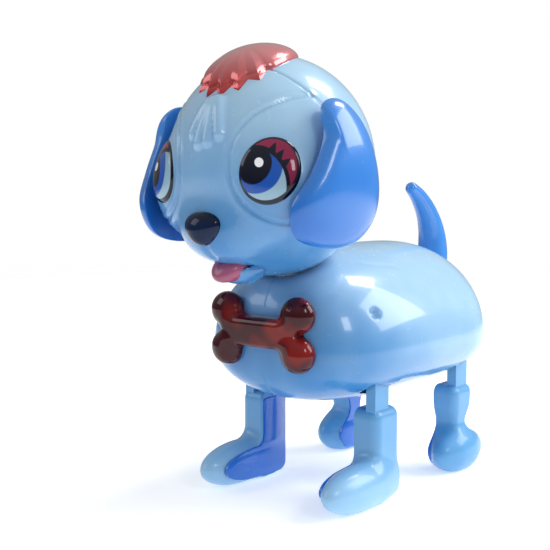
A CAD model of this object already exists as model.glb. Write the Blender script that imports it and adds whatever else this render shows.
import math

import bpy
import numpy as np
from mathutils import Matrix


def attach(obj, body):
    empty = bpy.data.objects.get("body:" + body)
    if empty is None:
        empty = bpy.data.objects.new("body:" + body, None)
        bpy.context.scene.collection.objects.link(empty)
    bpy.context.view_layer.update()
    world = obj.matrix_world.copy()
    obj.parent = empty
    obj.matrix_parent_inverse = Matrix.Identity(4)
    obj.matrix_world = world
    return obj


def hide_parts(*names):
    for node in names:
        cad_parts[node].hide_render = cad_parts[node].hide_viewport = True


bl_info = {
    "name": "Walking Toy Puppy",
    "version": (1, 0, 0),
    "blender": (4, 5, 0),
    "location": "View3D > Sidebar > Puppy",
    "description": "Shells, face, legs and studio of a battery walking toy puppy",
    "category": "Add Mesh",
}

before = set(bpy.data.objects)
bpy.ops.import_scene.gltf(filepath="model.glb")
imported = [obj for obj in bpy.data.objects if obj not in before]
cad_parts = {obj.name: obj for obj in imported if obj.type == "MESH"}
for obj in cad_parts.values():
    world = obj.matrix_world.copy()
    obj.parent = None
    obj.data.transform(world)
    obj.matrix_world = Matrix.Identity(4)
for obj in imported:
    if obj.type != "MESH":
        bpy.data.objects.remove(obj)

MILLIMETRE = 0.001
SIDES = ((1, "left"), (-1, "right"))

# body barrel, as half sizes from its widest place
BARREL_MIDDLE = np.array((0.0, 25.0, 61.0))
BARREL_WIDE, BARREL_RISE, BARREL_DROP = 44.0, 40.0, 23.5
BARREL_FRONT, BARREL_REAR, BARREL_POWER = 72.4, 45.4, 3.5
PAN_FRONT, PAN_REAR, PAN_EDGE = -6.8, 61.0, 50.5

# head ball and the plane that parts its two halves
HEAD_MIDDLE = np.array((0.0, -41.6, 133.1))
HEAD_HALVES = np.array((39.3, 40.6, 42.2))
SEAM_LEAN = math.radians(28.0)
SEAM_BACK = np.array((0.0, math.cos(SEAM_LEAN), math.sin(SEAM_LEAN)))
SEAM_UP = np.array((0.0, -math.sin(SEAM_LEAN), math.cos(SEAM_LEAN)))
SIDEWAYS = np.array((1.0, 0.0, 0.0))

EYE_PLACE = np.array((25.0, -74.0, 131.4))
EYE_LONG, EYE_SHORT, EYE_DEEP, EYE_SINK = 12.2, 10.4, 3.9, 2.0
EYE_TILT = math.radians(32.0)


# ------------------------------------------------------------ arithmetic of surfaces
def clamp(values, low, high):
    return np.minimum(np.maximum(values, low), high)


def ease(low, high, values):
    """Smooth step: 3t squared minus 2t cubed, where t runs from 0 at low to 1 at high."""
    t = clamp((values - low) / (high - low), 0.0, 1.0)
    return t * t * (3 - 2 * t)


def soft_least(a, b, width):
    """The smaller of two distances, rounded where they are within width of each other."""
    h = clamp(0.5 + 0.5 * (b - a) / width, 0.0, 1.0)
    return b * (1 - h) + a * h - width * h * (1 - h)


def soft_most(a, b, width):
    return -soft_least(-a, -b, width)


def egg_distance(points, middle, halves):
    """Near distance to an ellipsoid: k0 (k0 - 1) / k1, where k0 is the length of the point over the
    half sizes and k1 the length of the point over their squares."""
    offset = points - middle
    k0 = np.linalg.norm(offset / halves, axis=-1)
    k1 = np.linalg.norm(offset / np.square(halves), axis=-1)
    return k0 * (k0 - 1) / np.maximum(k1, 1e-9)


def block_distance(points, middle, halves, rounding):
    """Distance to a box with rounded edges: the length of what stands out past its inner box."""
    reach = np.abs(points - middle) - (np.asarray(halves) - rounding)
    outside = np.linalg.norm(np.maximum(reach, 0), axis=-1)
    return outside + np.minimum(reach.max(axis=-1), 0) - rounding


def cast(origin, directions, distance, far):
    """Points where rays from origin leave the solid whose distance function is given, by halving the
    span of each ray in which the distance changes sign."""
    low = np.zeros(directions.shape[:-1])
    high = np.full(directions.shape[:-1], float(far))
    for _ in range(30):
        middle = 0.5 * (low + high)
        inside = distance(origin + directions * middle[..., None]) < 0
        low = np.where(inside, middle, low)
        high = np.where(inside, high, middle)
    return origin + directions * (0.5 * (low + high))[..., None]


def flowing(path, count, closed=False):
    """Points along a smooth line through the given ones: a Catmull-Rom cubic on each span."""
    path = np.asarray(path, float)
    spans = len(path) if closed else len(path) - 1
    place = np.linspace(0, spans, count, endpoint=not closed)
    number = np.minimum(place.astype(int), spans - 1)
    t = (place - number)[:, None]
    if closed:
        picks = [path[(number + k) % len(path)] for k in (-1, 0, 1, 2)]
    else:
        picks = [path[clamp(number + k, 0, len(path) - 1)] for k in (-1, 0, 1, 2)]
    a, b, c, d = picks
    return 0.5 * (2 * b + (c - a) * t + (2 * a - 5 * b + 4 * c - d) * t ** 2
                  + (3 * b - a - 3 * c + d) * t ** 3)


def ball_directions(pole, front, rows, columns, start=0.0, end=math.pi):
    """Unit directions: cos(t) pole + sin(t) (cos(p) front + sin(p) side), t down rows, p round columns."""
    side = np.cross(pole, front)
    t = np.linspace(start, end, rows)[:, None, None]
    p = np.linspace(0, 2 * math.pi, columns, endpoint=False)[None, :, None]
    return np.cos(t) * pole + np.sin(t) * (np.cos(p) * front + np.sin(p) * side)


# ------------------------------------------------------------ meshes
def lattice(rows, columns, around=True):
    """Corner numbers of the four-sided faces between the rows and columns of a grid of points."""
    r = np.arange(rows - 1)[:, None]
    c = np.arange(columns if around else columns - 1)[None, :]
    right = (c + 1) % columns
    corners = (r * columns + c, r * columns + right, (r + 1) * columns + right, (r + 1) * columns + c)
    return np.stack(np.broadcast_arrays(*corners), axis=-1).reshape(-1, 4)


def walled(outer, inner, keep):
    """Corner numbers of a wall with openings: the kept faces of an outer and an inner grid, and a rim
    face on every edge that has a kept face on one side only."""
    rows, columns = outer.shape[:2]
    count = rows * columns
    faces = lattice(rows, columns, around=False)[keep.reshape(-1)]
    number = np.arange(count).reshape(rows, columns)
    padded = np.pad(keep, 1)
    parts = [faces, faces[:, ::-1] + count]
    above, below = padded[:-1, 1:-1], padded[1:, 1:-1]
    left, right = padded[1:-1, :-1], padded[1:-1, 1:]
    rims = ((below & ~above, number[:, 1:], number[:, :-1]), (above & ~below, number[:, :-1], number[:, 1:]),
            (right & ~left, number[:-1, :], number[1:, :]), (left & ~right, number[1:, :], number[:-1, :]))
    for edge, first, second in rims:
        a, b = first[edge], second[edge]
        parts.append(np.stack((a, b, b + count, a + count), axis=-1))
    return np.concatenate((outer.reshape(-1, 3), inner.reshape(-1, 3))), np.concatenate(parts)


def closed(points, faces):
    """Welds points that meet, turns pinched faces into triangles and all faces outwards: the sum of
    the corner triple products of a closed surface is six times its volume, so it is above zero."""
    points = np.asarray(points, float).reshape(-1, 3)
    _, first, where = np.unique(np.round(points, 4), axis=0, return_index=True, return_inverse=True)
    points, faces = points[first], where.reshape(-1)[faces]
    pinched = faces == np.roll(faces, -1, axis=1)
    whole = faces[(~pinched).all(axis=1)]
    whole = whole[(whole[:, 0] != whole[:, 2]) & (whole[:, 1] != whole[:, 3])]
    single = pinched.sum(axis=1) == 1
    threes = faces[single][~pinched[single]].reshape(-1, 3)
    corners = np.concatenate((whole[:, :3], whole[:, (0, 2, 3)], threes))
    a, b, c = (points[corners[:, k]] for k in range(3))
    if (np.cross(a, b) * c).sum() < 0:
        whole, threes = whole[:, ::-1], threes[:, ::-1]
    return points, whole, threes


def piece(name, surfaces, finish, body, replaced=(), sharp=40.0):
    """A mesh object at the origin from closed surfaces in millimetres, riding on its body."""
    points, polygons, start = [], [], 0
    for verts, fours, threes in surfaces:
        points.append(verts)
        polygons += (fours + start).tolist() + (threes + start).tolist()
        start += len(verts)
    mesh = bpy.data.meshes.new(name)
    mesh.from_pydata((np.concatenate(points) * MILLIMETRE).tolist(), [], polygons)
    mesh.update()
    mesh.polygons.foreach_set("use_smooth", np.ones(len(mesh.polygons), bool))
    mesh.set_sharp_from_angle(angle=math.radians(sharp))
    mesh.materials.append(finish)
    made = bpy.data.objects.new(name, mesh)
    bpy.context.scene.collection.objects.link(made)
    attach(made, body)
    if replaced:
        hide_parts(*replaced)
    return made


# ------------------------------------------------------------ shader maths
class Signal:
    """A node socket that takes part in sums written as Python expressions."""

    def __init__(self, finish, socket):
        self.finish = finish
        self.socket = socket

    def maths(self, operation, *values):
        sockets = dict(enumerate(values))
        return self.finish.node("ShaderNodeMath", {"operation": operation}, sockets)

    def __add__(self, other):
        return self.maths("ADD", self, other)

    def __sub__(self, other):
        return self.maths("SUBTRACT", self, other)

    def __rsub__(self, other):
        return self.maths("SUBTRACT", other, self)

    def __mul__(self, other):
        return self.maths("MULTIPLY", self, other)

    def __truediv__(self, other):
        return self.maths("DIVIDE", self, other)

    def __pow__(self, other):
        return self.maths("POWER", self, other)

    __radd__ = __add__
    __rmul__ = __mul__

    def root(self):
        return self.maths("SQRT", self)

    def least(self, other):
        return self.maths("MINIMUM", self, other)

    def most(self, other):
        return self.maths("MAXIMUM", self, other)

    def size(self):
        return self.maths("ABSOLUTE", self)

    def step(self, low, high):
        """0 below low, 1 above high and smooth between, whichever of the two is larger."""
        settings = {"interpolation_type": "SMOOTHSTEP"}
        return self.finish.node("ShaderNodeMapRange", settings, {0: self, 1: low, 2: high, 3: 0.0, 4: 1.0})


class Finish:
    """A material being made: one principled surface and the nodes that feed it."""

    def __init__(self, name, **constants):
        self.material = bpy.data.materials.new(name)
        self.material.use_nodes = True
        self.tree = self.material.node_tree
        self.surface = self.tree.nodes["Principled BSDF"]
        for label, value in constants.items():
            self.surface.inputs[label.replace("_", " ")].default_value = value

    def node(self, kind, settings=None, sockets=None, output=0):
        """Adds any node: its settings first, then the values or links of its sockets."""
        made = self.tree.nodes.new(kind)
        for label, value in (settings or {}).items():
            setattr(made, label, value)
        for label, value in (sockets or {}).items():
            if isinstance(value, Signal):
                self.tree.links.new(value.socket, made.inputs[label])
            else:
                made.inputs[label].default_value = value
        return Signal(self, made.outputs[output])

    def feed(self, label, signal):
        self.tree.links.new(signal.socket, self.surface.inputs[label])

    def place(self):
        return self.node("ShaderNodeTexCoord", output="Object")

    def height(self):
        return self.node("ShaderNodeSeparateXYZ", None, {0: self.place()}, output="Z")

    def noise(self, scale, detail=2.0):
        return self.node("ShaderNodeTexNoise", None, {"Vector": self.place(), "Scale": scale, "Detail": detail})

    def mix(self, factor, first, second):
        return self.node("ShaderNodeMix", {"data_type": "RGBA"}, {0: factor, 6: first, 7: second}, output=2)

    def dot(self, vector, other):
        return self.node("ShaderNodeVectorMath", {"operation": "DOT_PRODUCT"}, {0: vector, 1: other},
                         output="Value")

    def bump(self, height, strength, distance):
        self.feed("Normal", self.node("ShaderNodeBump", None,
                                      {"Height": height, "Strength": strength, "Distance": distance}))


def shade(colour, factor):
    """The same colour darker or lighter, kept inside 0 to 1."""
    return tuple(min(1.0, max(0.0, value * factor)) for value in colour[:3]) + (1.0,)


def glossy_plastic(name, deep, pale, span=(0.02, 0.16), smoothness=0.22, coat=0.5, shine=0.4):
    """Moulded gloss plastic whose thin walls let more light through above and behind: the place along
    a line that leans back runs the colour from deep to pale, a slow cloud stirs it a little, and the
    skin is faintly uneven."""
    finish = Finish(name, Coat_Weight=coat, Coat_Roughness=0.04, IOR=1.5, Specular_IOR_Level=shine)
    cloud = finish.noise(38.0).step(0.3, 0.7)
    rise = finish.dot(finish.place(), (0.0, 0.5, 1.0)).step(*span)
    finish.feed("Base Color", finish.mix(rise * 0.85 + cloud * 0.15, tuple(deep), tuple(pale)))
    finish.feed("Roughness", finish.noise(160.0) * 0.08 + smoothness)
    finish.bump(finish.noise(120.0, 1.0), 0.03, 0.0004)
    return finish.material


def dull_plastic(name, colour, smoothness=0.45):
    """Plain moulded plastic with a fine grain in colour and skin."""
    finish = Finish(name, IOR=1.48)
    grain = finish.noise(420.0, 3.0)
    finish.feed("Base Color", finish.mix(grain.step(0.35, 0.65), tuple(colour), shade(colour, 0.8)))
    finish.feed("Roughness", grain * 0.2 + smoothness)
    finish.bump(grain, 0.12, 0.0003)
    return finish.material


def bare_metal(name, colour, smoothness=0.22):
    """Drawn metal with fine lines along its length and a little tarnish."""
    finish = Finish(name, Metallic=1.0)
    stretched = finish.node("ShaderNodeMapping", None, {"Vector": finish.place(), "Scale": (60.0, 900.0, 900.0)})
    lines = finish.node("ShaderNodeTexNoise", None, {"Vector": stretched, "Scale": 1.0, "Detail": 2.0})
    tarnish = finish.noise(90.0, 4.0).step(0.45, 0.75)
    finish.feed("Base Color", finish.mix(tarnish * 0.5, tuple(colour), shade(colour, 0.7)))
    finish.feed("Roughness", lines * 0.18 + tarnish * 0.1 + smoothness)
    finish.bump(lines, 0.08, 0.0002)
    return finish.material


def foil_red(name, bright, deep):
    """Metallised red with a pink sheen on top, deeper towards the cut tips."""
    finish = Finish(name, Coat_Weight=0.9, Coat_Roughness=0.05, IOR=1.5)
    top = finish.height().step(0.156, 0.176)
    cloud = finish.noise(60.0).step(0.35, 0.65)
    finish.feed("Base Color", finish.mix(top * 0.75 + cloud * 0.2, tuple(deep), tuple(bright)))
    finish.feed("Metallic", 0.6 - top * 0.35)
    finish.feed("Roughness", finish.noise(300.0) * 0.1 + 0.2)
    finish.bump(finish.noise(800.0), 0.06, 0.0003)
    return finish.material


def glass_red(name, bright, deep):
    """Deep red-brown gloss with lighter, warmer cores in it."""
    finish = Finish(name, Coat_Weight=0.5, Coat_Roughness=0.03, IOR=1.52, Specular_IOR_Level=0.1)
    core = finish.noise(85.0, 1.0).step(0.42, 0.68)
    finish.feed("Base Color", finish.mix(core, tuple(deep), tuple(bright)))
    finish.feed("Roughness", finish.noise(220.0) * 0.08 + 0.1)
    finish.bump(finish.noise(300.0), 0.03, 0.0004)
    return finish.material


def board_green(name, colour):
    """Circuit board lacquer with copper tracks showing as a lighter square net."""
    finish = Finish(name, Coat_Weight=0.4, IOR=1.5)
    parts = [finish.node("ShaderNodeSeparateXYZ", None, {0: finish.place()}, output=axis) for axis in "XY"]
    waves = [(part * 1800.0).maths("SINE", part * 1800.0).size() for part in parts]
    track = waves[0].least(waves[1]).step(0.22, 0.1)
    finish.feed("Base Color", finish.mix(track * 0.6, tuple(colour), shade(colour, 1.8)))
    finish.feed("Roughness", track * 0.1 + 0.35)
    finish.bump(track, 0.2, 0.0001)
    return finish.material


def cell_wrap(name, colour):
    """Printed foil sleeve in two plain bands round each cell, without lettering."""
    finish = Finish(name, Coat_Weight=0.3, IOR=1.5)
    along = finish.node("ShaderNodeSeparateXYZ", None, {0: finish.place()}, output="Y")
    band = along.step(0.0091, 0.0094)
    finish.feed("Base Color", finish.mix(band, tuple(colour), (0.72, 0.42, 0.1, 1.0)))
    finish.feed("Roughness", finish.noise(200.0) * 0.1 + 0.25)
    finish.feed("Metallic", band * 0.5 + 0.2)
    return finish.material


def eye_axes(side):
    """Outward normal, the outer side's direction and the upward one at an eye."""
    place = EYE_PLACE * (side, 1, 1)
    normal = (place - HEAD_MIDDLE) / np.square(HEAD_HALVES)
    normal = normal / np.linalg.norm(normal)
    across = np.cross((0.0, 0.0, 1.0), normal) * side
    across = across / np.linalg.norm(across)
    upward = np.cross(normal, across) * side
    return place, normal, across, upward


def painted_eye(name, side, colours):
    """Eye print in flat areas, each a test on two lengths: u towards the outer corner and v upwards.
    Iris and pupil are discs, the lid is what lies outside a tall ellipse, and the lashes are three
    spikes that stand on it."""
    finish = Finish(name, Coat_Weight=0.5, Coat_Roughness=0.02, IOR=1.5, Specular_IOR_Level=0.2)
    place, _, across, upward = eye_axes(side)
    offset = finish.node("ShaderNodeVectorMath", {"operation": "SUBTRACT"},
                         {0: finish.place(), 1: tuple(place * MILLIMETRE)})
    u = finish.dot(offset, tuple(across * 1000.0))
    v = finish.dot(offset, tuple(upward * 1000.0))
    gaze = (-4.6, 1.2) if side > 0 else (2.4, 0.2)

    def reach(middle, halves):
        return (((u - middle[0]) / halves[0]) ** 2.0 + ((v - middle[1]) / halves[1]) ** 2.0).root()

    def tilted(middle, halves, lean):
        c, s = math.cos(lean), math.sin(lean)
        a = (u - middle[0]) * c - (v - middle[1]) * s
        b = (u - middle[0]) * s + (v - middle[1]) * c
        return ((a / halves[0]) ** 2.0 + (b / halves[1]) ** 2.0).root()

    edge = 0.03
    iris = tilted(gaze, (9.2, 9.6), EYE_TILT)
    pupil = tilted(gaze, (5.2, 6.7), EYE_TILT)
    glint = reach((gaze[0] + 1.2 * side, gaze[1] + 1.3), (1.5, 1.6))
    lid = reach((-4.2, -5.6), (10.4, 12.6))
    rim = tilted((0.0, 0.0), (EYE_SHORT, EYE_LONG), EYE_TILT)
    angle = (v + 5.6).maths("ARCTAN2", v + 5.6, u + 4.2)
    first, second, third = (1 - (angle - math.radians(heading)).size() / math.radians(5.5)
                            for heading in (66.0, 53.0, 39.0))
    spikes = first.most(second).most(third)
    lash = 1.1 + spikes.most(0.0) * 0.24
    white = finish.mix((v + 9.0) / 16.0, tuple(colours.eye_white), shade(colours.eye_white, 0.8))
    layer = finish.mix(iris.step(1.0 + edge, 1.0 - edge), white, tuple(colours.iris_blue))
    layer = finish.mix(pupil.step(1.0 + edge, 1.0 - edge), layer, tuple(colours.print_black))
    layer = finish.mix(lid.step(1.0 - edge, 1.0), layer, tuple(colours.print_black))
    lid_red = finish.mix((u + 6.0) / 16.0, tuple(colours.lid_pink), shade(colours.lid_pink, 0.6))
    layer = finish.mix((lid - lash).step(0.0, edge), layer, lid_red)
    layer = finish.mix(glint.step(1.1, 0.95), layer, (0.95, 0.96, 1.0, 1.0))
    layer = finish.mix(rim.step(0.885, 0.905), layer, tuple(colours.print_black))
    finish.feed("Base Color", layer)
    finish.feed("Roughness", finish.noise(200.0) * 0.06 + 0.08)
    return finish.material


# ------------------------------------------------------------ shapes of the pieces
def barrel_half(side, groove):
    """Half of the body barrel: x = 44 r cos p, z = 61 + rise r sin p, where r and the station along Y are
    a superellipse of power 3.5. Points inside the ball that clears the head move down to that ball,
    with a rounded lip, and the belly pan and the leg slots are left open."""
    def turn_of(y, reach):
        return np.arcsin(clamp(np.abs(y - BARREL_MIDDLE[1]) / reach, 0, 1) ** (BARREL_POWER / 2))

    front = np.linspace(math.pi / 2, turn_of(PAN_FRONT, BARREL_FRONT), 72)
    middle = turn_of(np.linspace(PAN_FRONT, BARREL_MIDDLE[1], 40), BARREL_FRONT)[1:]
    rear = turn_of(np.linspace(BARREL_MIDDLE[1], PAN_REAR, 44), BARREL_REAR)[1:]
    last = np.linspace(turn_of(PAN_REAR, BARREL_REAR), math.pi / 2, 30)[1:]
    turns = np.concatenate((front, middle, rear, last))
    ahead = np.arange(len(turns)) < len(front) + len(middle)
    reach = np.where(ahead, -BARREL_FRONT, BARREL_REAR)
    y = BARREL_MIDDLE[1] + reach * np.sin(turns) ** (2 / BARREL_POWER)
    r = np.maximum(np.cos(turns), 0) ** (2 / BARREL_POWER)
    r[0] = r[-1] = 0.0
    lowest = -math.pi / 2
    edge = (PAN_EDGE - BARREL_MIDDLE[2]) / (BARREL_DROP * np.maximum(r, 0.05))
    edge = np.arcsin(clamp(edge, -0.985, 0.0))
    above, below = 150, 60
    upper = np.linspace(0, 1, above)[None, :]
    lower = np.linspace(0, 1, below + 1)[None, 1:]
    angles = np.concatenate((math.pi / 2 + (edge[:, None] - math.pi / 2) * upper,
                             edge[:, None] + (lowest - edge[:, None]) * lower), axis=1)
    height = np.where(angles > 0, BARREL_RISE, BARREL_DROP)
    outer = np.stack(np.broadcast_arrays(side * BARREL_WIDE * r[:, None] * np.cos(angles), y[:, None],
                                         BARREL_MIDDLE[2] + height * r[:, None] * np.sin(angles)), axis=-1)
    outer[:, 0, 0] = outer[:, -1, 0] = 0.0
    spine = np.stack(np.broadcast_arrays(0.0 * angles, y[:, None], BARREL_MIDDLE[2]), axis=-1)
    spokes = outer - spine
    length = np.linalg.norm(spokes, axis=-1)
    halves = HEAD_HALVES + (3.1, 0.8, 0.8)
    low, high = np.zeros(length.shape), np.full(length.shape, 1.0)
    for _ in range(30):
        share = 0.5 * (low + high)
        points = spine + spokes * share[..., None]
        inside = soft_most((share - 1) * length, -egg_distance(points, HEAD_MIDDLE, halves), 3.0) < 0
        low, high = np.where(inside, share, low), np.where(inside, high, share)
    outer = spine + spokes * (0.5 * (low + high))[..., None]
    dimple = np.array((side * 40.0, -23.7, 77.2)) if side > 0 else np.array((-38.0, 60.0, 61.8))
    away = np.linalg.norm((outer - dimple)[..., 1:], axis=-1)
    sink = 1.8 * np.exp(-(away / 1.9) ** 4) * (np.abs(outer[..., 0]) > 12)
    shoulder = flowing(((13.1, -11.3, 98.1), (21.8, -9.9, 94.7), (26.3, 5.1, 92.9)), 30)
    near = np.linalg.norm(outer[..., None, :] * (side, 1, 1) - shoulder, axis=-1).min(axis=-1)
    sink = sink + 0.4 * groove * np.exp(-(near / 1.6) ** 2) + 0.35 * (np.abs(outer[..., 0]) < 0.15)
    outer = outer - spokes / np.maximum(length, 1.0)[..., None] * sink[..., None]
    outer[:, 0, 0] = outer[:, -1, 0] = 0.0
    inner = BARREL_MIDDLE + (outer - BARREL_MIDDLE) * 0.955
    middles = 0.25 * (outer[:-1, :-1] + outer[1:, :-1] + outer[:-1, 1:] + outer[1:, 1:])
    x, along, z = np.moveaxis(middles, -1, 0)
    column = np.arange(middles.shape[1])[None, :]
    pan = (along > PAN_FRONT) & (along < PAN_REAR) & (column >= above - 1)
    front_slot = (np.abs(np.abs(x) - 31.0) < 3.6) & (np.abs(along + 13.8) < 8.6)
    rear_notch = (np.abs(np.abs(x) - 31.6) < 4.2) & (np.abs(along - 49.5) < 8.6)
    return closed(*walled(outer, inner, ~(pan | ((front_slot | rear_notch) & (z < 54)))))


def head_distance(points):
    """Skull ball joined softly to the muzzle and the cheeks: the rounded smallest of their ellipsoid
    distances. Both cheeks come from one, because the points are folded onto one side first."""
    folded = np.concatenate((np.abs(points[..., :1]), points[..., 1:]), axis=-1)
    skull = egg_distance(points, HEAD_MIDDLE, HEAD_HALVES)
    muzzle = egg_distance(points, np.array((0.0, -67.6, 109.0)), np.array((17.0, 13.6, 11.1)))
    cheek = egg_distance(folded, np.array((20.0, -60.0, 125.0)), np.array((18.0, 16.5, 19.0)))
    return soft_least(soft_least(skull, cheek, 7.0), muzzle, 9.0)


def line_reach(directions, path, count=26):
    """Distance from each direction to a line drawn on the head, both laid on a ball of radius 41."""
    line = flowing(path, count) - HEAD_MIDDLE
    line = 41.0 * line / np.linalg.norm(line, axis=1)[:, None]
    nearest = np.full(directions.shape[:-1], 1e9)
    for start, end in zip(line[:-1], line[1:]):
        span = end - start
        offset = 41.0 * directions - start
        share = clamp(offset @ span / (span @ span), 0.0, 1.0)
        nearest = np.minimum(nearest, np.linalg.norm(offset - share[..., None] * span, axis=-1))
    return nearest


PATCH_LINE = ((29.5, -55.5, 157.8), (22.0, -68.6, 153.9), (15.9, -76.0, 147.6), (11.8, -80.3, 135.2),
              (14.2, -78.0, 122.2), (22.4, -70.2, 115.3), (32.0, -60.0, 114.9))
BROW_LINE = ((18.6, -70.4, 155.2), (22.9, -64.8, 157.5), (27.0, -57.8, 158.7))
LIP_LINE = ((0.0, -80.5, 105.0), (0.0, -80.0, 101.5), (0.0, -76.5, 98.5))
FOREHEAD_LOCKS = (((-0.6, -76.0, 155.2), (-4.4, -80.5, 144.6)), ((1.0, -75.8, 155.8), (-1.0, -81.8, 141.0)),
                  ((2.4, -75.6, 156.0), (3.0, -81.6, 141.8)), ((3.6, -75.4, 155.8), (7.4, -79.8, 144.0)))


def head_relief(directions, groove):
    """How far details stand out of the head: round-bottomed grooves along the mask line, the brow and
    the lip, a groove at the seam, and the four locks on the forehead as rounded ridges."""
    mirrored = directions * np.where(directions[..., :1] < 0, (-1.0, 1.0, 1.0), (1.0, 1.0, 1.0))
    patch = line_reach(mirrored, PATCH_LINE)
    out = -groove * np.exp(-(patch / 0.75) ** 2) + 0.5 * groove * np.exp(-((patch - 1.5) / 0.9) ** 2)
    out = out - 0.7 * groove * np.exp(-(line_reach(mirrored, BROW_LINE) / 0.7) ** 2)
    out = out - 0.9 * np.exp(-(line_reach(directions, LIP_LINE) / 1.3) ** 2)
    seam = np.abs(directions @ SEAM_BACK) * 41.0
    out = out - 0.45 * np.exp(-(seam / 0.5) ** 2)
    lock = np.zeros(directions.shape[:-1])
    for ends in FOREHEAD_LOCKS:
        ridge = line_reach(directions, ends, 20)
        lock = np.maximum(lock, 1.9 * np.exp(-(ridge / 2.3) ** 3))
    return out + lock


def head_half(back, groove):
    """One half of the head: rays from the middle meet the soft union, relief moves the points along
    the rays, and a second skin 2.2 mm further in closes it at the seam."""
    pole = SEAM_BACK if back else -SEAM_BACK
    rows = 90 if back else 190
    rays = ball_directions(pole, SEAM_UP, rows, 340, 0.0, math.pi / 2)
    outer = cast(HEAD_MIDDLE, rays, head_distance, 70.0)
    outer = outer + rays * head_relief(rays, groove)[..., None]
    few = np.linspace(rows - 1, 0, 24).astype(int)
    inner = outer[few] - rays[few] * 2.2
    points = np.concatenate((outer, inner))
    return closed(points, lattice(len(points), 340))


def lower_jaw():
    """Jaw scoop: an ellipsoid less a rounded hollow on top, met by rays from low inside it."""
    def distance(points):
        bowl = egg_distance(points, np.array((0.0, -60.2, 94.9)), np.array((9.6, 10.1, 5.9)))
        hollow = egg_distance(points, np.array((0.0, -65.0, 98.6)), np.array((8.4, 10.6, 5.4)))
        return soft_most(bowl, -hollow, 1.2)
    rays = ball_directions(np.array((0.0, 0.0, -1.0)), np.array((0.0, -1.0, 0.0)), 70, 120)
    points = cast(np.array((0.0, -61.5, 91.6)), rays, distance, 30.0)
    return closed(points, lattice(70, 120))


def pebble(middle, halves, rows=48, columns=96, shaping=None):
    """Ellipsoid, each point moved by an optional shaping of its place on the unit ball."""
    unit = ball_directions(np.array((0.0, 0.0, 1.0)), np.array((0.0, -1.0, 0.0)), rows, columns)
    if shaping:
        unit = shaping(unit)
    return closed(np.asarray(middle) + unit * halves, lattice(rows, columns))


def nose_shaping(unit):
    """Wider above than below and flatter on its front, as a rounded triangle."""
    wide = 1.0 + 0.26 * unit[..., 2:3]
    front = 1.0 - 0.12 * np.square(unit[..., :1])
    return unit * np.concatenate((wide, front, np.ones_like(wide)), axis=-1)


def tongue_shaping(unit):
    """A shallow furrow down the middle and a tip that droops."""
    furrow = -0.22 * np.exp(-np.square(unit[..., 0] / 0.22)) * (unit[..., 2] > 0) * unit[..., 2]
    droop = -0.55 * np.square(np.maximum(-unit[..., 1], 0))
    return unit + np.stack((0 * furrow, 0 * furrow, furrow + droop), axis=-1)


def eye_lens(side):
    """Eye inlay that follows the head: rays through a leaning ellipse meet the head's surface, and the
    points stand off it by a low dome, the square root of 1 minus ring to the power 6."""
    place, _, across, upward = eye_axes(side)
    long_way = upward * math.cos(EYE_TILT) + across * math.sin(EYE_TILT)
    short_way = across * math.cos(EYE_TILT) - upward * math.sin(EYE_TILT)
    columns = 160
    p = np.linspace(0, 2 * math.pi, columns, endpoint=False)[None, :, None]
    ring = np.sin(np.linspace(0, math.pi / 2, 50))[:, None, None]
    flat = place + ring * (EYE_SHORT * np.cos(p) * short_way + EYE_LONG * np.sin(p) * long_way)
    rays = (flat - HEAD_MIDDLE) / np.linalg.norm(flat - HEAD_MIDDLE, axis=-1)[..., None]
    skin = cast(HEAD_MIDDLE, rays, head_distance, 70.0)
    top = skin + rays * (1.1 * np.sqrt(np.maximum(1 - ring ** 6, 0)) - 0.1 + 0.5 * (1 - ring ** 2))
    under = (skin - rays * (0.1 + 1.2 * np.sqrt(np.maximum(1 - ring ** 6, 0))))[::-5]
    points = np.concatenate((top, under))
    return closed(points, lattice(len(points), columns))


EAR_LINE = ((-60.5, 153.0), (-62.0, 143.0), (-68.0, 131.0), (-75.0, 118.5), (-71.0, 107.8),
            (-57.0, 103.6), (-43.5, 104.6), (-34.5, 111.5), (-32.5, 122.0), (-37.0, 138.5),
            (-43.5, 150.5), (-52.0, 156.5))


def ear_flap(side, thick):
    """Domed flap: rings shrink from the outline to its middle; the inner face follows an ellipsoid,
    and the outer one stands off it by thick times the 2.6 root of 1 minus ring to the power 5."""
    outline = flowing(EAR_LINE, 240, closed=True)
    middle = np.array((-53.0, 125.0))
    ring = np.sin(np.linspace(0, math.pi / 2, 40))
    flat = middle + ring[:, None, None] * (outline - middle)[None]
    y, z = flat[..., 0], flat[..., 1]
    room = 1 - np.square((y + 48.0) / 54.0) - np.square((z - 130.0) / 55.0)
    base = 41.2 * np.sqrt(np.maximum(room, 0.02))
    lift = thick * np.maximum(1 - ring[:, None] ** 5, 0) ** (1 / 2.6)
    top = np.stack((side * (base + 1.1 + lift), y, z), axis=-1)
    lift_under = 1.1 * np.maximum(1 - ring[:, None] ** 6, 0) ** 0.5
    under = np.stack((side * (base + 1.1 - lift_under), y, z), axis=-1)[::-1]
    points = np.concatenate((top, under[1:]))
    return closed(points, lattice(len(points), 240))


def pin(axis_y, axis_z, low, high, radius):
    """Round pin along X between two places, with a small chamfer on both ends."""
    x = np.array((low, low, low + 0.4, high - 0.4, high, high))
    r = np.array((0.0, radius - 0.4, radius, radius, radius - 0.4, 0.0))
    p = np.linspace(0, 2 * math.pi, 36, endpoint=False)[None, :]
    points = np.stack(np.broadcast_arrays(x[:, None], axis_y + r[:, None] * np.cos(p),
                                          axis_z + r[:, None] * np.sin(p)), axis=-1)
    return closed(points, lattice(6, 36))


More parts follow.
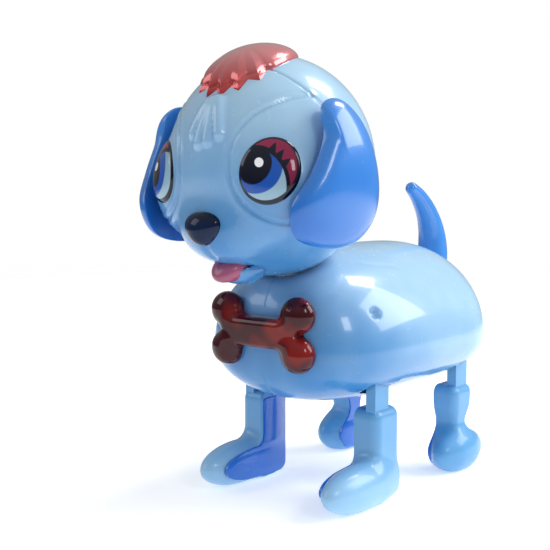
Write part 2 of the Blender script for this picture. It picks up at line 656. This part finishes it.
def hair_cap(rise):
    """Tuft on the crown. Rays fan out from the head's middle over an oval; the height over the skull
    is a smooth lens, and round it in front lie wedges: a triangle wave of the angle, which also cuts
    the edge into tips."""
    lean = math.radians(70.0)
    up = np.array((0.0, -math.cos(lean), math.sin(lean)))
    front = np.array((0.0, -math.sin(lean), -math.cos(lean)))
    columns, rows = 480, 70
    p = np.linspace(0, 2 * math.pi, columns, endpoint=False)[None, :]
    ring = np.linspace(0, 1, rows)[:, None]
    forward = ease(0.05, 0.45, np.sin(p))
    wave = 1 - np.abs(2 * np.mod(p * 15 / (2 * math.pi) + 0.25, 1.0) - 1)
    reach = 1.0 + forward * (0.19 * wave ** 1.3 - 0.03)
    spread = ring * reach
    rays = (up + (SIDEWAYS * (0.40 * spread * np.cos(p))[..., None])
            + front * (np.where(np.sin(p) > 0, 0.60, 0.66) * spread * np.sin(p))[..., None])
    rays = rays / np.linalg.norm(rays, axis=-1)[..., None]
    skull = 1 / np.linalg.norm(rays / HEAD_HALVES, axis=-1)
    cap = np.maximum(1 - np.square(ring / (0.985 - 0.11 * forward)), 0) ** 0.5 * rise * 1.25
    wedge = forward * (1 - ring) ** 0.5 * (1.2 + 2.6 * wave) * ease(0.74, 0.88, ring)
    height = np.maximum(cap, wedge) + 0.35 * (1 - ring ** 8)
    outer = HEAD_MIDDLE + rays * (skull + height - 0.3)[..., None]
    under = (HEAD_MIDDLE + rays * (skull - 1.0)[..., None])[::-4]
    points = np.concatenate((outer, under))
    return closed(points, lattice(len(points), columns))


def chest_bone():
    """Bone: four flattened balls and a rounded bar joined softly. Rays leave a point that stands
    between the balls at one end while they turn from 0 to 138 degrees off the long way, then the point
    travels to the other end while they turn back to 42, and there they turn on to 180."""
    middle = np.array((0.0, -47.6, 69.5))

    def distance(points):
        folded = np.abs(points - middle)
        ball = egg_distance(folded, np.array((17.4, 0.0, 7.5)), np.array((7.2, 5.8, 7.1)))
        bar = block_distance(folded, np.zeros(3), (18.0, 5.2, 5.9), 3.0)
        return soft_least(ball, bar, 3.0)

    fan, pass_over = np.radians(np.linspace(0, 138, 110)), np.linspace(0, 1, 70)[1:-1]
    turns = np.concatenate((fan, np.radians(138 - 96 * pass_over), math.pi - fan[::-1]))[:, None, None]
    hearts = np.concatenate((np.full(110, 15.5), 15.5 - 31.0 * pass_over, np.full(110, -15.5)))
    p = np.linspace(0, 2 * math.pi, 240, endpoint=False)[None, :, None]
    rays = (np.cos(turns) * SIDEWAYS
            + np.sin(turns) * (np.cos(p) * np.array((0, -1.0, 0)) + np.sin(p) * np.array((0, 0, 1.0))))
    origin = middle + hearts[:, None, None] * SIDEWAYS
    points = cast(origin, rays, distance, 30.0)
    return closed(points, lattice(len(points), 240))


LEGS = {"front": {"shin": (-11.2, 8.5), "paw": (-26.0, 22.5), "ankle": 0.0},
        "rear": {"shin": (49.5, 8.0), "paw": (50.5, 17.0), "ankle": 0.40}}


def leg_distance(points, place):
    """Distance to a leg standing on +X: a rounded upright block, drawn in at the ankle by a bell curve
    of height, joined softly to the paw's ellipsoid and cut flat on the inner side."""
    shin_y, shin_half = LEGS[place]["shin"]
    paw_y, paw_half = LEGS[place]["paw"]
    ankle = LEGS[place]["ankle"] * np.exp(-np.square((points[..., 2] - 20.5) / 6.0))
    slim = np.stack((27.0 + (points[..., 0] - 27.0) / (1 - 0.5 * ankle),
                     shin_y + (points[..., 1] - shin_y) / (1 - ankle), points[..., 2]), axis=-1)
    shin = block_distance(slim, np.array((27.0, shin_y, 20.0)), (8.0, shin_half, 18.2), 3.9)
    paw = egg_distance(points, np.array((30.9, paw_y, 8.8)), np.array((8.2, paw_half, 9.2)))
    whole = soft_least(shin, paw, 6.0)
    floor = soft_most(whole, 0.0 - points[..., 2], 1.2)
    return soft_most(floor, 23.6 - points[..., 0], 1.0)


def leg_casing(side, place):
    """Leg skin: rays fan out from a point above the ankle and meet the leg's distance function."""
    shin_y = LEGS[place]["shin"][0]
    heart = np.array((28.6, shin_y - (3.0 if place == "front" else 0.0), 12.0))
    rays = ball_directions(np.array((0.0, 0.0, 1.0)), np.array((0.0, -1.0, 0.0)), 150, 200)
    points = cast(heart, rays, lambda p: leg_distance(p, place), 60.0)
    return closed(points * (side, 1, 1), lattice(150, 200))


def leg_cover(side, place):
    """Flat cover on the inner face: at each height its front and rear edges lie 1.3 mm inside the
    leg's outline, and it stands 0.5 mm proud of the face."""
    shin_y = LEGS[place]["shin"][0]
    z = 18.6 + 16.6 * np.sin(np.linspace(-math.pi / 2, math.pi / 2, 90))
    ends = []
    for way in (-1.0, 1.0):
        low, high = np.zeros(len(z)), np.full(len(z), 50.0)
        for _ in range(30):
            middle = 0.5 * (low + high)
            spots = np.stack((np.full(len(z), 26.5), shin_y + way * middle, z), axis=-1)
            inside = leg_distance(spots, place) < -1.3
            low, high = np.where(inside, middle, low), np.where(inside, high, middle)
        ends.append(shin_y + way * low)
    ring_y = np.array((0.0, 0.03, 0.97, 1.0, 1.0, 0.0))
    ring_x = np.array((23.3, 23.0, 23.0, 23.3, 24.6, 24.6))
    y = ends[0][:, None] + (ends[1] - ends[0])[:, None] * ring_y[None, :]
    points = np.stack(np.broadcast_arrays(side * ring_x[None, :], y, z[:, None]), axis=-1).copy()
    caps = points[[0, -1]].mean(axis=1, keepdims=True).repeat(6, axis=1)
    points = np.concatenate((caps[:1], points, caps[1:]))
    return closed(points, lattice(len(points), 6))


TAIL_LINE = ((63.2, 78.0, 2.7), (68.5, 77.8, 2.9), (73.4, 79.0, 5.2), (77.2, 83.5, 6.8), (79.4, 90.0, 7.1),
             (79.5, 97.5, 6.7), (77.8, 105.0, 5.9), (73.6, 112.6, 4.9), (67.0, 119.4, 3.9),
             (60.4, 123.8, 2.9))


def tail_sweep():
    """Circle carried along a bent line, its radius smooth along it, with a half-ball tip and base."""
    line = flowing(TAIL_LINE, 120)
    heading = np.gradient(line[:, :2], axis=0)
    heading = heading / np.linalg.norm(heading, axis=1)[:, None]
    turn = np.linspace(0, math.pi / 2, 12)[1:]
    tip = line[-1, :2] + heading[-1] * line[-1, 2] * np.sin(turn)[:, None]
    base = line[0, :2] - heading[0] * 1.5 * np.sin(turn)[::-1, None]
    middle = np.concatenate((base, line[:, :2], tip))
    radius = np.concatenate((line[0, 2] * np.cos(turn)[::-1], line[:, 2], line[-1, 2] * np.cos(turn)))
    radius[0] = radius[-1] = 0.0
    ways = np.concatenate((heading[:1].repeat(11, 0), heading, heading[-1:].repeat(11, 0)))
    p = np.linspace(0, 2 * math.pi, 96, endpoint=False)[None, :]
    across = radius[:, None] * np.sin(p)
    points = np.stack((radius[:, None] * np.cos(p), middle[:, :1] - ways[:, 1:] * across,
                       middle[:, 1:] + ways[:, :1] * across), axis=-1)
    return closed(points, lattice(len(points), 96))


# ------------------------------------------------------------ what a user may change
class PuppySizes(bpy.types.PropertyGroup):
    groove: bpy.props.FloatProperty(name="Groove depth",
                                    description="Depth of the lines moulded in the shells, in millimetres",
                                    default=0.55, min=0.0, max=1.5)
    ear_thickness: bpy.props.FloatProperty(name="Ear thickness",
                                           description="How far the ears bulge, in millimetres",
                                           default=5.6, min=2.0, max=7.0)
    hair_rise: bpy.props.FloatProperty(name="Hair rise",
                                       description="Height of the tuft over the crown, in millimetres",
                                       default=3.6, min=1.0, max=6.0)
    lens: bpy.props.FloatProperty(name="Camera lens",
                                  description="Focal length on a 36 mm sensor, in millimetres",
                                  default=68.8, min=20.0, max=200.0, unit="CAMERA")


def colour(name, default, description):
    return bpy.props.FloatVectorProperty(name=name, description=description, default=default + (1.0,),
                                         size=4, min=0.0, max=1.0, subtype="COLOR")


class PuppyColours(bpy.types.PropertyGroup):
    shell_deep: colour("Shell, deep", (0.032, 0.215, 0.53), "Body and head shells below and in front")
    shell_pale: colour("Shell, pale", (0.42, 0.66, 0.86), "Body and head shells above and behind")
    leg_toe: colour("Leg toe", (0.30, 0.55, 0.80), "Front toes")
    leg_shin: colour("Leg shin", (0.09, 0.33, 0.64), "Shins, rear legs and levers")
    cover_blue: colour("Cover blue", (0.008, 0.15, 0.60), "Flat inner covers of the legs")
    ear_deep: colour("Ear, deep", (0.010, 0.145, 0.56), "Ears and tail below")
    ear_pale: colour("Ear, pale", (0.055, 0.26, 0.72), "Ears and tail above")
    hair_bright: colour("Hair top", (0.62, 0.20, 0.21), "Top of the hair tuft")
    hair_deep: colour("Hair tips", (0.50, 0.022, 0.024), "Cut tips of the hair tuft")
    bone_bright: colour("Bone core", (0.20, 0.010, 0.008), "Lighter cores in the bone")
    bone_deep: colour("Bone body", (0.045, 0.002, 0.006), "Body of the bone")
    nose_black: colour("Nose", (0.003, 0.014, 0.055), "Nose")
    tongue: colour("Tongue", (0.42, 0.10, 0.20), "Tongue")
    eye_white: colour("Eye white", (0.31, 0.50, 0.62), "Pale part of the eye print")
    iris_blue: colour("Iris", (0.012, 0.085, 0.42), "Coloured part of the eye print")
    print_black: colour("Eye outline", (0.002, 0.004, 0.016), "Pupil, lashes and outline")
    lid_pink: colour("Eyelid", (0.32, 0.018, 0.08), "Eyelid print")
    floor: colour("Floor", (0.93, 0.94, 0.95), "Studio floor")


FINISHES = {}


def finish_for(slot):
    """The material for one of the record's finishes, made the first time it is asked for."""
    if slot in FINISHES:
        return FINISHES[slot]
    c = bpy.context.scene.puppy_colours
    makers = {
        "pale_blue_shell": lambda: glossy_plastic("pale_blue_shell", c.shell_deep, c.shell_pale, (0.03, 0.105)),
        "pale_blue_head": lambda: glossy_plastic("pale_blue_head", c.shell_deep, c.shell_pale, (0.06, 0.13)),
        "pale_blue_leg": lambda: glossy_plastic("pale_blue_leg", c.leg_toe, c.leg_shin, (-0.01, 0.025), 0.3, 0.3),
        "strong_blue_cover": lambda: glossy_plastic("strong_blue_cover", c.cover_blue, shade(c.cover_blue, 1.3)),
        "pale_blue_lever": lambda: glossy_plastic("pale_blue_lever", c.leg_shin, c.leg_toe, (0.02, 0.2), 0.3, 0.3),
        "pale_blue_door": lambda: glossy_plastic("pale_blue_door", c.shell_deep, c.leg_toe, (0.0, 0.2), 0.3, 0.3),
        "mid_blue": lambda: glossy_plastic("mid_blue", c.ear_deep, c.ear_pale, (0.06, 0.14)),
        "natural_nylon": lambda: dull_plastic("natural_nylon", (0.75, 0.74, 0.68, 1.0), 0.35),
        "metallic_red": lambda: foil_red("metallic_red", c.hair_bright, c.hair_deep),
        "bone_red": lambda: glass_red("bone_red", c.bone_bright, c.bone_deep),
        "nose_black": lambda: glossy_plastic("nose_black", c.nose_black, shade(c.nose_black, 0.4),
                                             (0.068, 0.074), 0.1, 0.3, 0.1),
        "tongue_mauve": lambda: glossy_plastic("tongue_mauve", shade(c.tongue, 0.75), c.tongue,
                                               (0.05, 0.07), 0.3, 0.3),
        "bright_steel": lambda: bare_metal("bright_steel", (0.72, 0.73, 0.75, 1.0)),
        "gear_white": lambda: dull_plastic("gear_white", (0.82, 0.82, 0.78, 1.0), 0.4),
        "pinion_brass": lambda: bare_metal("pinion_brass", (0.78, 0.57, 0.25, 1.0)),
        "black_plastic": lambda: dull_plastic("black_plastic", (0.02, 0.02, 0.022, 1.0), 0.4),
        "board_green": lambda: board_green("board_green", (0.02, 0.16, 0.06, 1.0)),
        "cell_wrap": lambda: cell_wrap("cell_wrap", (0.03, 0.03, 0.035, 1.0)),
    }
    if slot not in makers:
        raise RuntimeError("no finish is made for slot " + str(slot))
    FINISHES[slot] = makers[slot]()
    return FINISHES[slot]


# ------------------------------------------------------------ operators
class PUPPY_OT_inside(bpy.types.Operator):
    """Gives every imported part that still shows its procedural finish"""
    bl_idname = "puppy.inside"
    bl_label = "Inside parts"

    def execute(self, context):
        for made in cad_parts.values():
            if made.hide_render:
                continue
            slot = made.data.materials[0].name.split(".")[0]
            made.data.materials.clear()
            made.data.materials.append(finish_for(slot))
        return {"FINISHED"}


class PUPPY_OT_body(bpy.types.Operator):
    """Makes the two body shells with their neck dish, pan opening and leg slots"""
    bl_idname = "puppy.body"
    bl_label = "Body shells"

    def execute(self, context):
        groove = context.scene.puppy_sizes.groove
        for side, word in SIDES:
            piece("body_half_" + word, [barrel_half(side, groove)], finish_for("pale_blue_shell"),
                  "trunk", ["body_shell_" + word])
        return {"FINISHED"}


class PUPPY_OT_head(bpy.types.Operator):
    """Makes the front and back of the head and the lower jaw"""
    bl_idname = "puppy.head"
    bl_label = "Head"

    def execute(self, context):
        groove = context.scene.puppy_sizes.groove
        finish = finish_for("pale_blue_head")
        piece("head_front", [head_half(False, groove)], finish, "head", ["head_shell_front"])
        piece("head_back", [head_half(True, groove)], finish, "head", ["head_shell_back"])
        piece("lower_jaw", [lower_jaw()], finish, "head")
        return {"FINISHED"}


class PUPPY_OT_face(bpy.types.Operator):
    """Makes the nose, the tongue and the two printed eyes"""
    bl_idname = "puppy.face"
    bl_label = "Face"

    def execute(self, context):
        nose = pebble((0.0, -80.4, 110.4), (7.8, 5.4, 6.2), 60, 96, nose_shaping)
        piece("nose_button", [nose], finish_for("nose_black"), "head", ["nose"])
        tongue = pebble((0.0, -64.6, 95.4), (7.0, 8.8, 5.2), 60, 96, tongue_shaping)
        piece("tongue_flesh", [tongue], finish_for("tongue_mauve"), "head", ["tongue"])
        for side, word in SIDES:
            paint = painted_eye("painted_eye_" + word, side, context.scene.puppy_colours)
            piece("eye_lens_" + word, [eye_lens(side)], paint, "head", ["eye_" + word])
        return {"FINISHED"}


class PUPPY_OT_ears(bpy.types.Operator):
    """Makes the two domed ears with their pivot pins"""
    bl_idname = "puppy.ears"
    bl_label = "Ears"

    def execute(self, context):
        thick = context.scene.puppy_sizes.ear_thickness
        for side, word in SIDES:
            low, high = sorted((side * 26.0, side * 34.5))
            surfaces = [ear_flap(side, thick), pin(-50.0, 152.0, low, high, 3.0)]
            piece("ear_flap_" + word, surfaces, finish_for("mid_blue"), word + "_ear", ["ear_" + word])
        return {"FINISHED"}


class PUPPY_OT_hair(bpy.types.Operator):
    """Makes the metallised tuft on the crown"""
    bl_idname = "puppy.hair"
    bl_label = "Hair tuft"

    def execute(self, context):
        cap = hair_cap(context.scene.puppy_sizes.hair_rise)
        piece("hair_cap", [cap], finish_for("metallic_red"), "head", ["hair_tuft"], sharp=22.0)
        return {"FINISHED"}


class PUPPY_OT_bone(bpy.types.Operator):
    """Makes the bone on the chest"""
    bl_idname = "puppy.bone"
    bl_label = "Chest bone"

    def execute(self, context):
        piece("bone", [chest_bone()], finish_for("bone_red"), "trunk", ["chest_bone"])
        return {"FINISHED"}


class PUPPY_OT_legs(bpy.types.Operator):
    """Makes the four leg casings and their inner covers"""
    bl_idname = "puppy.legs"
    bl_label = "Legs"

    def execute(self, context):
        for place in LEGS:
            for side, word in SIDES:
                name = "%s_%s_leg" % (place, word)
                piece(name + "_skin", [leg_casing(side, place)], finish_for("pale_blue_leg"),
                      name, [name + "_casing"])
                piece(name + "_plate", [leg_cover(side, place)], finish_for("strong_blue_cover"),
                      name, [name + "_cover"])
        return {"FINISHED"}


class PUPPY_OT_tail(bpy.types.Operator):
    """Makes the curved tail"""
    bl_idname = "puppy.tail"
    bl_label = "Tail"

    def execute(self, context):
        piece("tail_curve", [tail_sweep()], finish_for("mid_blue"), "tail", ["tail"])
        return {"FINISHED"}


def area_light(name, place, target, size, power, tint=(1.0, 1.0, 1.0)):
    """Rectangular softbox that faces a target point."""
    light = bpy.data.lights.new(name, "AREA")
    light.shape = "RECTANGLE"
    light.size, light.size_y = size
    light.energy = power
    light.color = tint
    made = bpy.data.objects.new(name, light)
    bpy.context.scene.collection.objects.link(made)
    made.location = place
    aim = np.asarray(target) - np.asarray(place)
    flat = math.hypot(aim[0], aim[1])
    made.rotation_euler = (math.pi / 2 + math.atan2(aim[2], flat), 0, math.atan2(-aim[0], aim[1]))
    return made


def studio_air():
    """White air to look at, and a dimmer one, brightest overhead, for the pieces to mirror."""
    world = bpy.data.worlds.new("studio_air")
    world.use_nodes = True
    tree = world.node_tree
    seen = tree.nodes.new("ShaderNodeLightPath").outputs["Is Camera Ray"]
    split = tree.nodes.new("ShaderNodeSeparateXYZ")
    tree.links.new(tree.nodes.new("ShaderNodeTexCoord").outputs["Generated"], split.inputs[0])
    rise = tree.nodes.new("ShaderNodeMapRange")
    tree.links.new(split.outputs["Z"], rise.inputs[0])
    for number, value in ((1, -0.1), (2, 0.9), (3, 0.14), (4, 0.55)):
        rise.inputs[number].default_value = value
    strength = tree.nodes.new("ShaderNodeMix")
    tree.links.new(seen, strength.inputs[0])
    tree.links.new(rise.outputs[0], strength.inputs[2])
    strength.inputs[3].default_value = 1.0
    background = tree.nodes["Background"]
    background.inputs["Color"].default_value = (1.0, 1.0, 1.0, 1.0)
    tree.links.new(strength.outputs[0], background.inputs["Strength"])
    return world


class PUPPY_OT_studio(bpy.types.Operator):
    """Makes the pale floor, the soft lights and the camera"""
    bl_idname = "puppy.studio"
    bl_label = "Studio"

    def execute(self, context):
        scene = context.scene
        finish = Finish("studio_floor", Specular_IOR_Level=0.2)
        pale = tuple(scene.puppy_colours.floor)
        finish.feed("Base Color", finish.mix(finish.noise(3.0), pale, shade(pale, 0.98)))
        finish.feed("Roughness", finish.noise(9.0) * 0.1 + 0.6)
        finish.surface.inputs["Emission Color"].default_value = (1.0, 1.0, 1.0, 1.0)
        finish.surface.inputs["Emission Strength"].default_value = 0.42
        away = finish.node("ShaderNodeVectorMath", {"operation": "LENGTH"}, {0: finish.place()}, output="Value")
        finish.feed("Alpha", away.step(1.3, 0.45))
        mesh = bpy.data.meshes.new("studio_floor")
        reach = 6.0
        mesh.from_pydata([(-reach, -reach, 0), (reach, -reach, 0), (reach, reach, 0), (-reach, reach, 0)],
                         [], [(0, 1, 2, 3)])
        mesh.materials.append(finish.material)
        floor = bpy.data.objects.new("studio_floor", mesh)
        scene.collection.objects.link(floor)
        scene.world = studio_air()
        aim = (0.0, 0.0, 0.1)
        area_light("softbox_behind", (0.75, 0.65, 0.70), aim, (0.7, 0.7), 9.0)
        area_light("window_above", (0.2, 0.5, 0.85), aim, (0.2, 0.28), 2.6)
        area_light("window_right", (0.8, -0.3, 0.6), aim, (0.2, 0.28), 1.5)
        area_light("window_left", (-0.65, -0.65, 0.6), aim, (0.5, 0.5), 1.6)
        camera = bpy.data.cameras.new("camera")
        camera.sensor_width = 36.0
        camera.lens = scene.puppy_sizes.lens
        camera.clip_start = 0.01
        holder = bpy.data.objects.new("camera", camera)
        scene.collection.objects.link(holder)
        holder.location = (0.2567, -0.3567, 0.128)
        holder.rotation_euler = (math.radians(90 - 5.2), 0.0, math.radians(39.0))
        scene.camera = holder
        scene.view_settings.view_transform = "Standard"
        return {"FINISHED"}


OPERATORS = (PUPPY_OT_body, PUPPY_OT_head, PUPPY_OT_face, PUPPY_OT_ears, PUPPY_OT_hair, PUPPY_OT_bone,
             PUPPY_OT_legs, PUPPY_OT_tail, PUPPY_OT_inside, PUPPY_OT_studio)


class PUPPY_PT_panel(bpy.types.Panel):
    """Sizes, colours and one button for each group of pieces"""
    bl_label = "Walking toy puppy"
    bl_idname = "PUPPY_PT_panel"
    bl_space_type = "VIEW_3D"
    bl_region_type = "UI"
    bl_category = "Puppy"

    def draw(self, context):
        for group in (context.scene.puppy_sizes, context.scene.puppy_colours):
            for label in group.__annotations__:
                self.layout.prop(group, label)
        for operator in OPERATORS:
            self.layout.operator(operator.bl_idname)


CLASSES = (PuppySizes, PuppyColours, *OPERATORS, PUPPY_PT_panel)


def register():
    for entry in CLASSES:
        bpy.utils.register_class(entry)
    bpy.types.Scene.puppy_sizes = bpy.props.PointerProperty(type=PuppySizes)
    bpy.types.Scene.puppy_colours = bpy.props.PointerProperty(type=PuppyColours)


def unregister():
    del bpy.types.Scene.puppy_colours
    del bpy.types.Scene.puppy_sizes
    for entry in reversed(CLASSES):
        bpy.utils.unregister_class(entry)


def main():
    register()
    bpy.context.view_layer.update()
    for operator in OPERATORS:
        group, action = operator.bl_idname.split(".")
        getattr(getattr(bpy.ops, group), action)()


if __name__ == "__main__":
    main()
